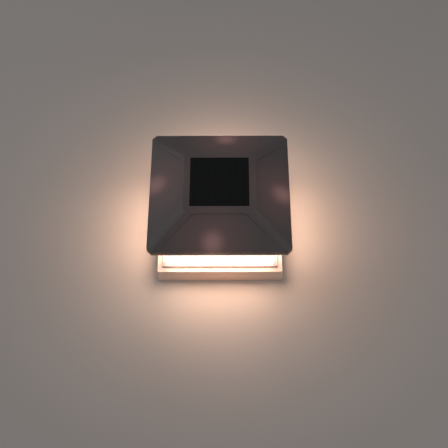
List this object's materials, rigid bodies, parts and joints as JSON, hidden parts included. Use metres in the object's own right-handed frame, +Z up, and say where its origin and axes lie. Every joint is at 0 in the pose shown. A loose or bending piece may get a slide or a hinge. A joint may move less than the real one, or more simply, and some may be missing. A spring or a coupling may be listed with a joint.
{
  "type": "fence light",
  "caption": "Square solar fence light: hipped cap with a solar panel, glowing lens band and a base that sleeves over a square post.",
  "frame": {"origin": "middle of the base's underside, on the surface that the light stands on", "axes": "+Z up through the roof, -Y towards the front face, +X to the right seen from the front"},
  "size_m": [0.148, 0.148, 0.0905],
  "materials": {
    "base_plastic": "satin moulded plastic",
    "lens_clear": "clear fluted moulding",
    "cap_plastic": "satin moulded plastic",
    "black_foam": "matt",
    "circuit_board": "solder mask",
    "panel_backing": "black solder mask",
    "solar_silicon": "dark silicon",
    "panel_glass": "clear, slightly dark",
    "tray_plastic": "white satin",
    "seal_foam": "matt",
    "screw_steel": "zinc plated",
    "seal_rubber": "matt silicone",
    "battery_steel": "nickel plated",
    "battery_wrap": "shrink sleeve, bare",
    "contact_metal": "nickel plated",
    "led_board_white": "white solder mask",
    "led_resin": "clear resin",
    "chip_black": "moulded",
    "ferrite": "sintered",
    "capacitor_can": "bare can",
    "switch_black": "moulded",
    "wire_cover": "insulation"
  },
  "bodies": {
    "base": {"base_housing": "base_plastic"},
    "head": {"lens": "lens_clear", "cap_shell": "cap_plastic", "panel_adhesive": "black_foam", "panel_board": "panel_backing", "solar_cells": "solar_silicon", "solar_glass": "panel_glass", "tray": "tray_plastic", "tray_seal": "seal_foam", "tray_screws": "screw_steel", "lens_gasket": "seal_rubber", "lens_screws": "screw_steel", "battery_cell": "battery_steel", "battery_sleeve": "battery_wrap", "contact_plus": "contact_metal", "contact_minus": "contact_metal", "door_pin": "screw_steel", "led_board": "led_board_white", "leds": "led_resin", "led_board_screws": "screw_steel", "control_board": "circuit_board", "control_board_screws": "screw_steel", "driver_chip": "chip_black", "inductor": "ferrite", "capacitor": "capacitor_can", "switch_body": "switch_black", "panel_leads": "wire_cover", "battery_leads": "wire_cover", "led_leads": "wire_cover"},
    "lid": {"battery_door": "tray_plastic", "door_seal": "seal_foam"},
    "slider": {"switch_knob": "switch_black"}
  },
  "joints": [
    {"name": "head_lift", "type": "slide", "parent": "base", "child": "head", "axis": [0, 0, 1], "range_m": [0, 0.06]},
    {"name": "battery_lid", "type": "hinge", "parent": "head", "child": "lid", "pos_m": [0, 0.03835, 0.059], "axis": [1, 0, 0], "range_deg": [0, 95]},
    {"name": "power_switch", "type": "slide", "parent": "head", "child": "slider", "axis": [1, 0, 0], "range_m": [0, 0.004]}
  ]
}
